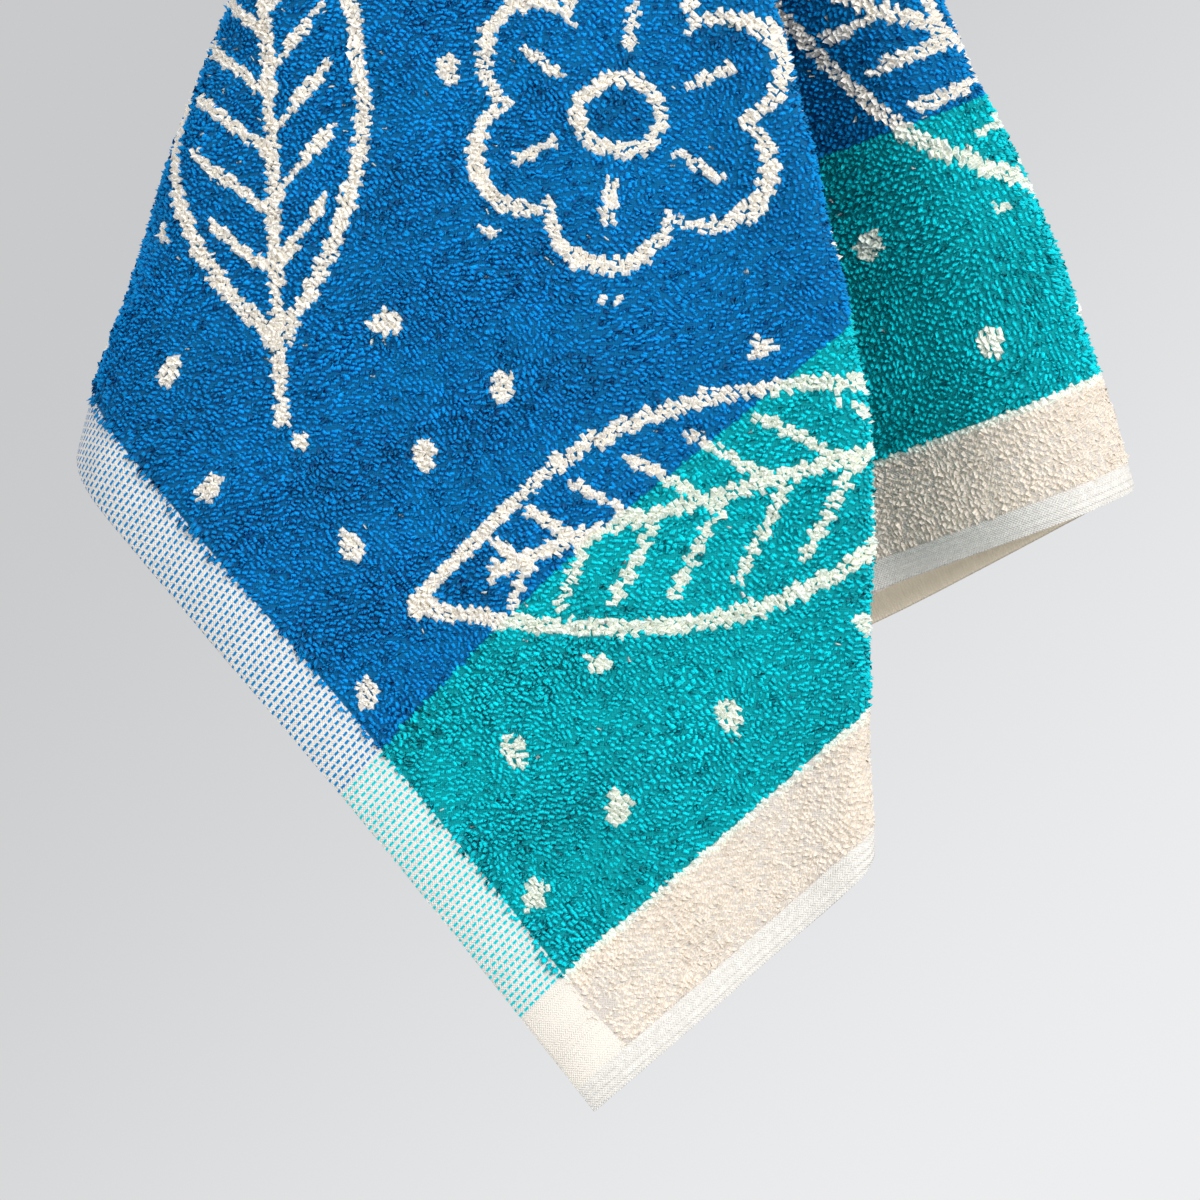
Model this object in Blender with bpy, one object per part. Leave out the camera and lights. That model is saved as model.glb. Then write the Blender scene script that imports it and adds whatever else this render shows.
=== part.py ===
# Terry hand towel hanging from one point of its upper long edge.
# Metres, +Z up, +X to the viewer's right, +Y away from the viewer. The origin is at the hanging
# point, on the axis of the small ring into which the upper edge is gathered.
from math import atan2, cos, hypot, pi, radians, sin

import bpy
import numpy as np

# Cloth, laid flat
LONG_SIDE = 0.500
SHORT_SIDE = 0.300
PILE_THICKNESS = 0.0030
HEM_THICKNESS = 0.0018
SIDE_HEM = 0.0126
SELVEDGE = 0.0055
# Along the upper long edge, from the front corner to the hanging point
HANG_AT = 0.255

# The hanging point is a small open ring, with the upper edge's two halves side by side
RING_RADIUS = 0.006
RING_SLOPE = 0.577
# The ring's height above the level of the origin, which lies at its upper edge
RING_DROP = 0.0052
EDGE_GAP = 0.0038
# Distances from the hanging point, along the cloth, between which the ring opens into folds
FOLDS_START = 0.020
FOLDS_FULL = 0.130
# Distances between which the lower folds draw in by their tuck
TUCK_START = 0.235
TUCK_FULL = 0.365
# Spreads the layers in depth near the hanging point
DEPTH_PAD = 0.070

# One row for each bend of the cloth, from the left half of the upper edge to the right half.
# side and depth are slopes: metres to the right and metres back, for each metre down.
# tuck is added to side at the hem. round is how far a bend starts before its corner.
# rise is how far the cloth is drawn up there by its waves, in metres.
# angle is the cloth's own angle at the hanging point, in degrees, from the square to the long
# edge, where a bend's place on the cloth is known.
FRONT_CORNER_ANGLE = atan2(HANG_AT, SHORT_SIDE)
FAR_CORNER_ANGLE = -atan2(LONG_SIDE - HANG_AT, SHORT_SIDE)
BENDS = (
    # name, side, depth, tuck, round, angle, rise
    ("left edge", 0.060, -0.042, 0.000, 0.020, pi / 2, 0.0000),
    ("left lining", -0.170, 0.018, 0.000, 0.090, None, 0.0000),
    ("left fold, back", -0.350, 0.054, 0.020, 0.060, None, 0.0000),
    ("left fold, front", -0.352, -0.042, 0.022, 0.060, radians(63.3), 0.0000),
    ("left cheek", -0.220, -0.088, 0.000, 0.080, None, 0.0000),
    ("front corner", 0.034, -0.112, 0.000, 0.090, FRONT_CORNER_ANGLE, 0.0000),
    ("trough", 0.140, -0.086, 0.000, 0.050, None, 0.0000),
    ("front fold, outer", 0.250, -0.098, -0.066, 0.022, None, 0.0000),
    ("front fold, inner", 0.246, -0.044, -0.066, 0.022, None, 0.0040),
    ("valley, outer", 0.132, 0.004, -0.050, 0.022, None, 0.0100),
    ("valley, inner", 0.132, 0.050, -0.050, 0.022, None, 0.0110),
    ("right slope", 0.215, 0.062, 0.000, 0.050, None, 0.0095),
    ("right crest", 0.375, -0.016, -0.016, 0.050, None, 0.0050),
    ("right fold, front", 0.444, 0.004, -0.026, 0.020, radians(2.5), 0.0045),
    ("right fold, back", 0.444, 0.050, -0.026, 0.022, None, 0.0045),
    ("rear bend", 0.210, 0.108, 0.000, 0.060, None, -0.0010),
    ("hidden fold, left", 0.000, 0.108, 0.000, 0.024, None, 0.0000),
    ("hidden fold, left back", 0.000, 0.156, 0.000, 0.024, None, 0.0000),
    ("hidden fold, right", 0.096, 0.162, 0.000, 0.024, None, 0.0000),
    ("hidden fold, right back", 0.096, 0.210, 0.000, 0.024, None, 0.0000),
    ("far corner", 0.000, 0.230, 0.000, 0.050, FAR_CORNER_ANGLE, 0.0000),
    ("back fold, outer", -0.322, 0.258, 0.000, 0.026, None, 0.0000),
    ("back fold, inner", -0.322, 0.206, 0.000, 0.026, None, 0.0000),
    ("inner bend", -0.100, 0.104, 0.000, 0.060, None, 0.0000),
    ("right edge", 0.070, 0.056, 0.000, 0.050, -pi / 2, 0.0000),
)
CURVE_STEPS = 6
STRAIGHT_STEP = 0.020

# Grid of the solid
TABLE_RADII = 90
TABLE_ANGLES = 1441
FLAT_STEP = radians(4.2)
BEND_STEP = radians(19.0)
COLUMN_RADII = (0.110, 0.200, 0.280, 0.330)
# Rows, as shares of the way from the ring to the edge of the pile
ROW_SHARES = (0.0, 0.045, 0.10, 0.17, 0.25, 0.33, 0.42, 0.53, 0.65, 0.77, 0.89)
PILE_ROUNDING = 0.0016

TOWEL_BLUE = (0.010, 0.180, 0.540, 1.0)


def eased(x):
    x = np.clip(x, 0.0, 1.0)
    return x * x * (3.0 - 2.0 * x)


def spread(radius):
    """How far the ring has opened into folds, 0 to 1."""
    return eased((radius - FOLDS_START) / (FOLDS_FULL - FOLDS_START))


def placed(side, depth, rise, radius, opened):
    """The point at this distance from the hanging point in the direction of the two slopes."""
    drop = radius / np.sqrt(1.0 + side * side + depth * depth) - rise * opened
    across = side * drop
    back = depth * (drop + DEPTH_PAD * opened)
    return np.stack([across, back, RING_DROP - drop], axis=-1)


def bend_line(radius):
    """The folds' outline at this radius: rows of side, depth and rise, and the row of each bend."""
    drawn = eased((radius - TUCK_START) / (TUCK_FULL - TUCK_START))
    corners = np.array([(row[1] + row[3] * drawn, row[2], row[6]) for row in BENDS])
    rounds = [row[4] for row in BENDS]
    lengths = np.linalg.norm(np.diff(corners[:, :2], axis=0), axis=1)
    line = [corners[0]]
    middles = [0]

    def straight_to(end):
        start = line[-1]
        steps = max(1, int(np.linalg.norm((end - start)[:2]) / STRAIGHT_STEP))
        for step in range(1, steps + 1):
            line.append(start + (end - start) * step / steps)

    for i in range(1, len(corners) - 1):
        before, here, after = corners[i - 1 : i + 2]
        enter = min(rounds[i], lengths[i - 1] / 2) / lengths[i - 1]
        leave = min(rounds[i], lengths[i] / 2) / lengths[i]
        start = here + (before - here) * enter
        end = here + (after - here) * leave
        straight_to(start)
        middles.append(len(line) - 1 + CURVE_STEPS // 2)
        for step in range(1, CURVE_STEPS + 1):
            t = step / CURVE_STEPS
            line.append((1 - t) ** 2 * start + 2 * t * (1 - t) * here + t * t * end)
    straight_to(corners[-1])
    middles.append(len(line) - 1)
    return np.array(line), middles


def cloth_slopes(radius, angles):
    """side, depth and rise of the cloth at this radius, for each of its own angles (falling)."""
    line, middles = bend_line(radius)
    points = placed(*line.T, radius, 1.0)
    steps = np.linalg.norm(np.diff(points, axis=0), axis=1)
    along = np.concatenate([[0.0], np.cumsum(steps)])
    known = [(along[m], row[5]) for m, row in zip(middles, BENDS) if row[5] is not None]
    line_angles = np.interp(along, [a for a, _ in known], [b for _, b in known])
    side = np.interp(-angles, -line_angles, line[:, 0])
    depth = np.interp(-angles, -line_angles, line[:, 1])
    rise = np.interp(-angles, -line_angles, line[:, 2])
    # Near the hanging point the cloth is a cone, open by the gap between its two edges
    gap = min(1.2, EDGE_GAP / (RING_SLOPE * 0.87 * radius))
    turn = -pi / 2 + (FRONT_CORNER_ANGLE - angles) * (2 * pi - gap) / pi
    opened = spread(radius)
    side = opened * side + (1 - opened) * RING_SLOPE * np.cos(turn)
    depth = opened * depth + (1 - opened) * RING_SLOPE * np.sin(turn)
    return side, depth, rise


def slope_table():
    angles = np.linspace(pi / 2, -pi / 2, TABLE_ANGLES)
    radii = np.linspace(RING_RADIUS, hypot(HANG_AT, SHORT_SIDE) + 0.002, TABLE_RADII)
    slopes = np.array([cloth_slopes(radius, angles) for radius in radii])
    return radii, angles, slopes


RADII, ANGLES, SLOPES = slope_table()


def hung(radius, angle):
    """Where a point of the cloth hangs, from its distance and angle at the hanging point."""
    row = np.clip((radius - RADII[0]) / (RADII[1] - RADII[0]), 0, TABLE_RADII - 1.001)
    column = np.clip((ANGLES[0] - angle) / (ANGLES[0] - ANGLES[1]), 0, TABLE_ANGLES - 1.001)
    i = row.astype(int)
    j = column.astype(int)
    a = row - i
    b = column - j
    side, depth, rise = (
        table[i, j] * (1 - a) * (1 - b)
        + table[i + 1, j] * a * (1 - b)
        + table[i, j + 1] * (1 - a) * b
        + table[i + 1, j + 1] * a * b
        for table in (SLOPES[:, 0], SLOPES[:, 1], SLOPES[:, 2])
    )
    return placed(side, depth, rise, radius, spread(radius))


def reach(angle, inset_long, inset_short):
    """Distance from the hanging point to the edge of the cloth less its hems, along an angle."""
    short = (HANG_AT if angle > 0 else LONG_SIDE - HANG_AT) - inset_short
    down = (SHORT_SIDE - inset_long) / max(cos(angle), 1e-6)
    return min(down, short / max(abs(sin(angle)), 1e-6))


def column_angles():
    """Cloth angles of the grid: both corners and their pile corners, close together in the bends."""
    kept = [pi / 2, -pi / 2]
    for sign, width in ((1, HANG_AT), (-1, LONG_SIDE - HANG_AT)):
        kept.append(sign * atan2(width, SHORT_SIDE))
        kept.append(sign * atan2(width - SIDE_HEM, SHORT_SIDE - SELVEDGE))
    kept = sorted(kept, reverse=True)
    probe = ANGLES[::2]
    turned = np.zeros(len(probe) - 2)
    for radius in COLUMN_RADII:
        points = hung(np.full(len(probe), radius), probe)
        steps = np.diff(points, axis=0)
        steps /= np.linalg.norm(steps, axis=1)[:, None]
        turns = np.arccos(np.clip((steps[1:] * steps[:-1]).sum(axis=1), -1, 1))
        turned = np.maximum(turned, np.convolve(turns, np.ones(7) / 7, mode="same"))
    passed = turned / BEND_STEP + (probe[0] - probe[1]) / FLAT_STEP
    total = np.concatenate([[0.0, 0.0], np.cumsum(passed)])
    columns = []
    for first, last in zip(kept, kept[1:]):
        from_to = np.interp([-first, -last], -probe, total)
        count = max(1, int(round(from_to[1] - from_to[0])))
        stops = np.linspace(from_to[0], from_to[1], count + 1)[:-1]
        columns += [first] + list(np.interp(stops[1:], total, probe))
    return columns + [kept[-1]]


def sheet_grid():
    """Rows of distance and angle, and the cloth's thickness at each."""
    angles = column_angles()
    distance = []
    thickness = []
    for angle in angles:
        pile = reach(angle, SELVEDGE, SIDE_HEM)
        edge = reach(angle, 0.0, 0.0)
        inner = pile - PILE_ROUNDING
        rows = [RING_RADIUS + (inner - RING_RADIUS) * share for share in ROW_SHARES]
        distance.append(rows + [inner, pile, edge])
        thickness.append([PILE_THICKNESS] * (len(rows) + 1) + [HEM_THICKNESS] * 2)
    angle_grid = np.repeat(np.array(angles)[:, None], len(distance[0]), axis=1)
    return np.array(distance), angle_grid, np.array(thickness)


def across_normals(distance, angle):
    """Unit normals of the cloth, towards the face side."""
    small = 2e-4
    along = hung(distance + small, angle) - hung(distance - small, angle)
    turn = small / distance
    round_it = hung(distance, angle - turn) - hung(distance, angle + turn)
    normal = np.cross(along, round_it)
    return normal / np.linalg.norm(normal, axis=-1)[..., None]


def build_towel(collection):
    """One closed sheet: a face side and a back side, joined along all four edges."""
    distance, angle, thickness = sheet_grid()
    middle = hung(distance, angle)
    half = across_normals(distance, angle) * thickness[..., None] / 2
    columns, rows = distance.shape
    points = np.concatenate([(middle + half).reshape(-1, 3), (middle - half).reshape(-1, 3)])
    back = columns * rows
    faces = []
    for c in range(columns - 1):
        for r in range(rows - 1):
            quad = [c * rows + r, c * rows + r + 1, (c + 1) * rows + r + 1, (c + 1) * rows + r]
            faces.append(quad)
            faces.append([back + k for k in reversed(quad)])
    rim = [(c * rows, (c + 1) * rows) for c in range(columns - 1)]
    rim += [((c + 1) * rows + rows - 1, c * rows + rows - 1) for c in range(columns - 1)]
    rim += [(r + 1, r) for r in range(rows - 1)]
    rim += [((columns - 1) * rows + r, (columns - 1) * rows + r + 1) for r in range(rows - 1)]
    faces += [[b, a, back + a, back + b] for a, b in rim]
    mesh = bpy.data.meshes.new("towel")
    mesh.from_pydata([tuple(p) for p in points], [], faces)
    mesh.validate()
    towel = bpy.data.objects.new("towel", mesh)
    collection.objects.link(towel)
    return towel


def fabric(name, colour):
    material = bpy.data.materials.new(name)
    material.use_nodes = True
    shader = material.node_tree.nodes["Principled BSDF"]
    shader.inputs["Base Color"].default_value = colour
    shader.inputs["Roughness"].default_value = 0.95
    return material


def faced_out(part):
    """Turns the faces outward."""
    bpy.ops.object.select_all(action="DESELECT")
    part.select_set(True)
    bpy.context.view_layer.objects.active = part
    bpy.ops.object.mode_set(mode="EDIT")
    bpy.ops.mesh.select_all(action="SELECT")
    bpy.ops.mesh.normals_make_consistent(inside=False)
    bpy.ops.object.mode_set(mode="OBJECT")


def main():
    for obj in list(bpy.data.objects):
        bpy.data.objects.remove(obj, do_unlink=True)
    collection = bpy.data.collections.new("hand_towel")
    bpy.context.scene.collection.children.link(collection)
    towel = build_towel(collection)
    towel.data.materials.append(fabric("terry_cotton", TOWEL_BLUE))
    faced_out(towel)


main()
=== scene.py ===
from math import atan2, cos, hypot, pi, radians, sin

import bpy
import numpy as np
from bpy.props import FloatProperty, FloatVectorProperty, IntProperty, PointerProperty
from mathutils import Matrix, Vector


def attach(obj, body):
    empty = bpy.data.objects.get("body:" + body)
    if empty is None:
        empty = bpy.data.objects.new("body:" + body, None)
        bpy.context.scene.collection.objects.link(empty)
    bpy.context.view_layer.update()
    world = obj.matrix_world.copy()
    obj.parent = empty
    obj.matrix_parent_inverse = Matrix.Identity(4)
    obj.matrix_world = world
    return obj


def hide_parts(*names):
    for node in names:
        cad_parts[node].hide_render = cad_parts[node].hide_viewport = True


bl_info = {
    "name": "Terry Hand Towel",
    "version": (1, 0, 0),
    "blender": (4, 5, 0),
    "location": "View3D > Sidebar > Towel",
    "description": "Builds a looped terry hand towel hanging from one point",
    "category": "Object",
}

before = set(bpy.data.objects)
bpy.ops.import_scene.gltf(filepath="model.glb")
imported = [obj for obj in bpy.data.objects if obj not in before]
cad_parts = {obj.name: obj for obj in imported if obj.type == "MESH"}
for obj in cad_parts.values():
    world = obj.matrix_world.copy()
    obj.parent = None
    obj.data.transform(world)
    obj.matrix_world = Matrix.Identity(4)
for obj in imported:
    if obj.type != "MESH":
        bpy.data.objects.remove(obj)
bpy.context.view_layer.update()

# The cloth laid flat. u runs from the short side at the front corner, v from the banded hem.
LONG_SIDE = 0.500
SHORT_SIDE = 0.300
SIDE_HEM = 0.0126
SELVEDGE = 0.0055
HANG_AT = 0.255
LOOP_COLUMNS = 480
LOOP_ROWS = 204
LOOP_GRID = (LOOP_COLUMNS, LOOP_ROWS)
PITCH_U = (LONG_SIDE - 2 * SIDE_HEM) / LOOP_COLUMNS
PITCH_V = (SHORT_SIDE - 2 * SELVEDGE) / LOOP_ROWS
PILE_PIECES = 5
# The ground between the loops lies this far off the cloth's middle, and their feet a bit deeper
GROUND_LIFT = 0.0007
FOOT_DEPTH = 0.0001

# How it hangs, as its solid does
RING_RADIUS = 0.006
RING_SLOPE = 0.577
RING_DROP = 0.0052
EDGE_GAP = 0.0038
FOLDS_START = 0.020
FOLDS_FULL = 0.130
TUCK_START = 0.235
TUCK_FULL = 0.365
DEPTH_PAD = 0.070
# The cone near the ring: its drop for each metre along it, and its widest opening in radians
RING_FALL = 0.87
WIDEST_GAP = 1.2
FRONT_CORNER_ANGLE = atan2(HANG_AT, SHORT_SIDE)
FAR_CORNER_ANGLE = -atan2(LONG_SIDE - HANG_AT, SHORT_SIDE)
BENDS = (
    # name, side, depth, tuck, round, angle, rise
    ("left edge", 0.060, -0.042, 0.000, 0.020, pi / 2, 0.0000),
    ("left lining", -0.170, 0.018, 0.000, 0.090, None, 0.0000),
    ("left fold, back", -0.350, 0.054, 0.020, 0.060, None, 0.0000),
    ("left fold, front", -0.352, -0.042, 0.022, 0.060, radians(63.3), 0.0000),
    ("left cheek", -0.220, -0.088, 0.000, 0.080, None, 0.0000),
    ("front corner", 0.034, -0.112, 0.000, 0.090, FRONT_CORNER_ANGLE, 0.0000),
    ("trough", 0.140, -0.086, 0.000, 0.050, None, 0.0000),
    ("front fold, outer", 0.250, -0.098, -0.066, 0.022, None, 0.0000),
    ("front fold, inner", 0.246, -0.044, -0.066, 0.022, None, 0.0040),
    ("valley, outer", 0.132, 0.004, -0.050, 0.022, None, 0.0100),
    ("valley, inner", 0.132, 0.050, -0.050, 0.022, None, 0.0110),
    ("right slope", 0.215, 0.062, 0.000, 0.050, None, 0.0095),
    ("right crest", 0.375, -0.016, -0.016, 0.050, None, 0.0050),
    ("right fold, front", 0.444, 0.004, -0.026, 0.020, radians(2.5), 0.0045),
    ("right fold, back", 0.444, 0.050, -0.026, 0.022, None, 0.0045),
    ("rear bend", 0.210, 0.108, 0.000, 0.060, None, -0.0010),
    ("hidden fold, left", 0.000, 0.108, 0.000, 0.024, None, 0.0000),
    ("hidden fold, left back", 0.000, 0.156, 0.000, 0.024, None, 0.0000),
    ("hidden fold, right", 0.096, 0.162, 0.000, 0.024, None, 0.0000),
    ("hidden fold, right back", 0.096, 0.210, 0.000, 0.024, None, 0.0000),
    ("far corner", 0.000, 0.230, 0.000, 0.050, FAR_CORNER_ANGLE, 0.0000),
    ("back fold, outer", -0.322, 0.258, 0.000, 0.026, None, 0.0000),
    ("back fold, inner", -0.322, 0.206, 0.000, 0.026, None, 0.0000),
    ("inner bend", -0.100, 0.104, 0.000, 0.060, None, 0.0000),
    ("right edge", 0.070, 0.056, 0.000, 0.050, -pi / 2, 0.0000),
)
CURVE_STEPS = 8
STRAIGHT_STEP = 0.020
TABLE_RADII = 90
TABLE_ANGLES = 1441
# The table goes a little past the front corner, and a place in it stays short of its last row
TABLE_MARGIN = 0.002
TABLE_END = 1.001

# Columns of the cloth's mesh, close together in the bends
FLAT_STEP = radians(2.0)
BEND_STEP = radians(8.0)
COLUMN_RADII = (0.110, 0.200, 0.280, 0.330)
PILE_MESH_ROWS = 46
# The bends are averaged over this many samples
SMOOTHED_OVER = 7
# Keeps a division off zero
SMALLEST = 1e-6

# Photograph's frame: its side in pixels, the hanging point's place and the front corner's row
PICTURE_SIDE = 1200
HANG_PIXEL = (545.0, -886.0)
CORNER_ROW = 1112.0
SENSOR_WIDTH = 36.0
CAMERA_REACH = 50.0


# Shape of the hanging cloth


def eased(x):
    x = np.clip(x, 0.0, 1.0)
    return x * x * (3.0 - 2.0 * x)


def spread(radius):
    """How far the ring has opened into folds, 0 to 1."""
    return eased((radius - FOLDS_START) / (FOLDS_FULL - FOLDS_START))


def placed(side, depth, rise, radius, opened):
    """The point at this distance from the hanging point in the direction of the two slopes."""
    drop = radius / np.sqrt(1.0 + side * side + depth * depth) - rise * opened
    across = side * drop
    back = depth * (drop + DEPTH_PAD * opened)
    return np.stack([across, back, RING_DROP - drop], axis=-1)


def bend_line(radius):
    """The folds' outline at this radius: rows of side, depth and rise, and the row of each bend."""
    drawn = eased((radius - TUCK_START) / (TUCK_FULL - TUCK_START))
    corners = np.array([(row[1] + row[3] * drawn, row[2], row[6]) for row in BENDS])
    rounds = [row[4] for row in BENDS]
    lengths = np.linalg.norm(np.diff(corners[:, :2], axis=0), axis=1)
    line = [corners[0]]
    middles = [0]

    def straight_to(end):
        start = line[-1]
        steps = max(1, int(np.linalg.norm((end - start)[:2]) / STRAIGHT_STEP))
        for step in range(1, steps + 1):
            line.append(start + (end - start) * step / steps)

    for i in range(1, len(corners) - 1):
        before, here, after = corners[i - 1 : i + 2]
        enter = min(rounds[i], lengths[i - 1] / 2) / lengths[i - 1]
        leave = min(rounds[i], lengths[i] / 2) / lengths[i]
        start = here + (before - here) * enter
        end = here + (after - here) * leave
        straight_to(start)
        middles.append(len(line) - 1 + CURVE_STEPS // 2)
        for step in range(1, CURVE_STEPS + 1):
            t = step / CURVE_STEPS
            line.append((1 - t) ** 2 * start + 2 * t * (1 - t) * here + t * t * end)
    straight_to(corners[-1])
    middles.append(len(line) - 1)
    return np.array(line), middles


def cloth_slopes(radius, angles):
    """side, depth and rise of the cloth at this radius, for each of its own angles (falling)."""
    line, middles = bend_line(radius)
    points = placed(*line.T, radius, 1.0)
    steps = np.linalg.norm(np.diff(points, axis=0), axis=1)
    along = np.concatenate([[0.0], np.cumsum(steps)])
    known = [(along[m], row[5]) for m, row in zip(middles, BENDS) if row[5] is not None]
    line_angles = np.interp(along, [a for a, _ in known], [b for _, b in known])
    side = np.interp(-angles, -line_angles, line[:, 0])
    depth = np.interp(-angles, -line_angles, line[:, 1])
    rise = np.interp(-angles, -line_angles, line[:, 2])
    gap = min(WIDEST_GAP, EDGE_GAP / (RING_SLOPE * RING_FALL * radius))
    turn = -pi / 2 + (FRONT_CORNER_ANGLE - angles) * (2 * pi - gap) / pi
    opened = spread(radius)
    side = opened * side + (1 - opened) * RING_SLOPE * np.cos(turn)
    depth = opened * depth + (1 - opened) * RING_SLOPE * np.sin(turn)
    return side, depth, rise


def slope_table():
    angles = np.linspace(pi / 2, -pi / 2, TABLE_ANGLES)
    farthest = hypot(HANG_AT, SHORT_SIDE) + TABLE_MARGIN
    radii = np.linspace(RING_RADIUS, farthest, TABLE_RADII)
    slopes = np.array([cloth_slopes(radius, angles) for radius in radii])
    return radii, angles, slopes


RADII, ANGLES, SLOPES = slope_table()


def hung(radius, angle):
    """Where a point of the cloth hangs, from its distance and angle at the hanging point."""
    row = np.clip((radius - RADII[0]) / (RADII[1] - RADII[0]), 0, TABLE_RADII - TABLE_END)
    column = np.clip((ANGLES[0] - angle) / (ANGLES[0] - ANGLES[1]), 0, TABLE_ANGLES - TABLE_END)
    i = row.astype(int)
    j = column.astype(int)
    a = row - i
    b = column - j
    side, depth, rise = (
        table[i, j] * (1 - a) * (1 - b)
        + table[i + 1, j] * a * (1 - b)
        + table[i, j + 1] * (1 - a) * b
        + table[i + 1, j + 1] * a * b
        for table in (SLOPES[:, 0], SLOPES[:, 1], SLOPES[:, 2])
    )
    return placed(side, depth, rise, radius, spread(radius))


def polar(u, v):
    """Distance and angle at the hanging point of flat places on the cloth."""
    across = HANG_AT - u
    down = SHORT_SIDE - v
    return np.maximum(np.hypot(across, down), RING_RADIUS), np.arctan2(across, down)


def unit(vectors):
    return vectors / np.linalg.norm(vectors, axis=-1)[..., None]


def facing(radius, angle):
    """Unit normals of the cloth, towards the face side."""
    small = 2e-4
    along = hung(radius + small, angle) - hung(radius - small, angle)
    turn = small / radius
    round_it = hung(radius, angle - turn) - hung(radius, angle + turn)
    return unit(np.cross(along, round_it))


RIPPLES = (
    # height, waves along u, waves along v, phase
    (0.00045, 95, 40, 0.4),
    (0.00040, -38, 61, 1.9),
    (0.00022, 178, -120, 2.6),
    (0.00018, 90, 230, 0.0),
)


def ripples(u, v):
    """Soft unevenness of a washed cloth, in metres along its normal."""
    return sum(
        height * np.sin(waves_u * u + waves_v * v + phase)
        for height, waves_u, waves_v, phase in RIPPLES
    )


def hung_at(u, v, lift):
    """Places on the hanging cloth, so far off its middle, and their normals."""
    radius, angle = polar(u, v)
    normal = facing(radius, angle)
    return hung(radius, angle) + normal * (lift + ripples(u, v))[..., None], normal


# Woven design: bands along the hem, and white outline leaves and blossoms of plain form


LEAVES = (
    # stem u, stem v, tip u, tip v, half width
    (0.140, 0.052, 0.038, 0.098, 0.0210),
    (0.052, 0.158, 0.118, 0.248, 0.0230),
    (0.286, 0.050, 0.214, 0.128, 0.0200),
    (0.330, 0.120, 0.420, 0.062, 0.0210),
    (0.452, 0.112, 0.474, 0.212, 0.0190),
    (0.232, 0.168, 0.292, 0.254, 0.0200),
    (0.356, 0.262, 0.430, 0.204, 0.0190),
)
BLOSSOMS = (
    # centre u, centre v, radius, turn
    (0.132, 0.142, 0.0300, 0.30),
    (0.046, 0.262, 0.0270, 0.80),
    (0.196, 0.222, 0.0260, 0.10),
    (0.340, 0.180, 0.0300, 0.55),
    (0.452, 0.258, 0.0260, 0.20),
    (0.470, 0.050, 0.0200, 0.60),
)
# Room kept round a leaf or a blossom
DESIGN_MARGIN = 0.006
# Half widths of the drawn lines, as shares of the line width
OUTLINE_HALF = 0.5
MIDRIB_HALF = 0.45
VEIN_HALF = 0.34
PETAL_HALF = 0.55
HEART_HALF = 0.45
DASH_HALF = 0.36
# Leaves: the place of their widest part, and spans as shares of their length
LEAF_TAPER = 0.85
LEAF_FULLNESS = 0.9
LEAF_SAMPLES = 201
LEAF_SPAN = (-0.18, 1.06)
OUTLINE_SPAN = (-0.02, 1.02)
MIDRIB_SPAN = (-0.16, 0.86)
MIDRIB_BOW = 0.02
VEIN_SPAN = (0.12, 0.84)
VEIN_REACH = 0.74
VEIN_SPACING = 0.0125
VEIN_SLANT = 0.9
VEIN_STRETCH = 1.35
# Blossoms: half the number of their petals, and distances as shares of their radius
PETAL_PAIRS = 3
PETAL_ROOT = 0.70
PETAL_DEPTH = 0.30
PETAL_ROUNDNESS = 0.7
HEART_RADIUS = 0.24
DASH_SPAN = (0.42, 0.74)
# Seeds in the room that is left
SEED_SPACING = 0.026
SEED_START = (0.2, 0.55)
SEED_SHIFT = 0.004
SEED_HALF_LENGTH = 0.0034
SEED_HALF_WIDTH = 0.0023


def inside_span(values, span):
    return (values > span[0]) & (values < span[1])


def leaf_half(share, half_width):
    """Half the width of a leaf at a share of its length."""
    return half_width * np.sin(pi * share**LEAF_TAPER) ** LEAF_FULLNESS


def on_leaf(u, v, stem_u, stem_v, tip_u, tip_v, half_width, line):
    """Outline, midrib and veins of a leaf, and the leaf's inside with a margin."""
    length = hypot(tip_u - stem_u, tip_v - stem_v)
    along_u = (tip_u - stem_u) / length
    along_v = (tip_v - stem_v) / length
    s = ((u - stem_u) * along_u + (v - stem_v) * along_v) / length
    t = (v - stem_v) * along_u - (u - stem_u) * along_v
    inside = np.clip(s, 0, 1)
    width = leaf_half(inside, half_width)
    shares = np.linspace(0, 1, LEAF_SAMPLES)
    slope = np.gradient(leaf_half(shares, half_width), length / (LEAF_SAMPLES - 1))
    steep = np.sqrt(1 + np.interp(inside, shares, slope) ** 2)
    outline = inside_span(s, OUTLINE_SPAN)
    outline &= np.abs(np.abs(t) - width) / steep < line * OUTLINE_HALF
    bow = MIDRIB_BOW * length * np.sin(pi * s)
    midrib = inside_span(s, MIDRIB_SPAN) & (np.abs(t + bow) < line * MIDRIB_HALF)
    slant = (s * length - VEIN_SLANT * np.abs(t)) / VEIN_SPACING
    off_vein = np.abs(slant - np.round(slant)) * VEIN_SPACING / VEIN_STRETCH
    vein = inside_span(s, VEIN_SPAN) & (off_vein < line * VEIN_HALF)
    vein &= np.abs(t) < width * VEIN_REACH
    covered = inside_span(s, LEAF_SPAN) & (np.abs(t) < width + DESIGN_MARGIN)
    return outline | midrib | vein, covered


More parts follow.
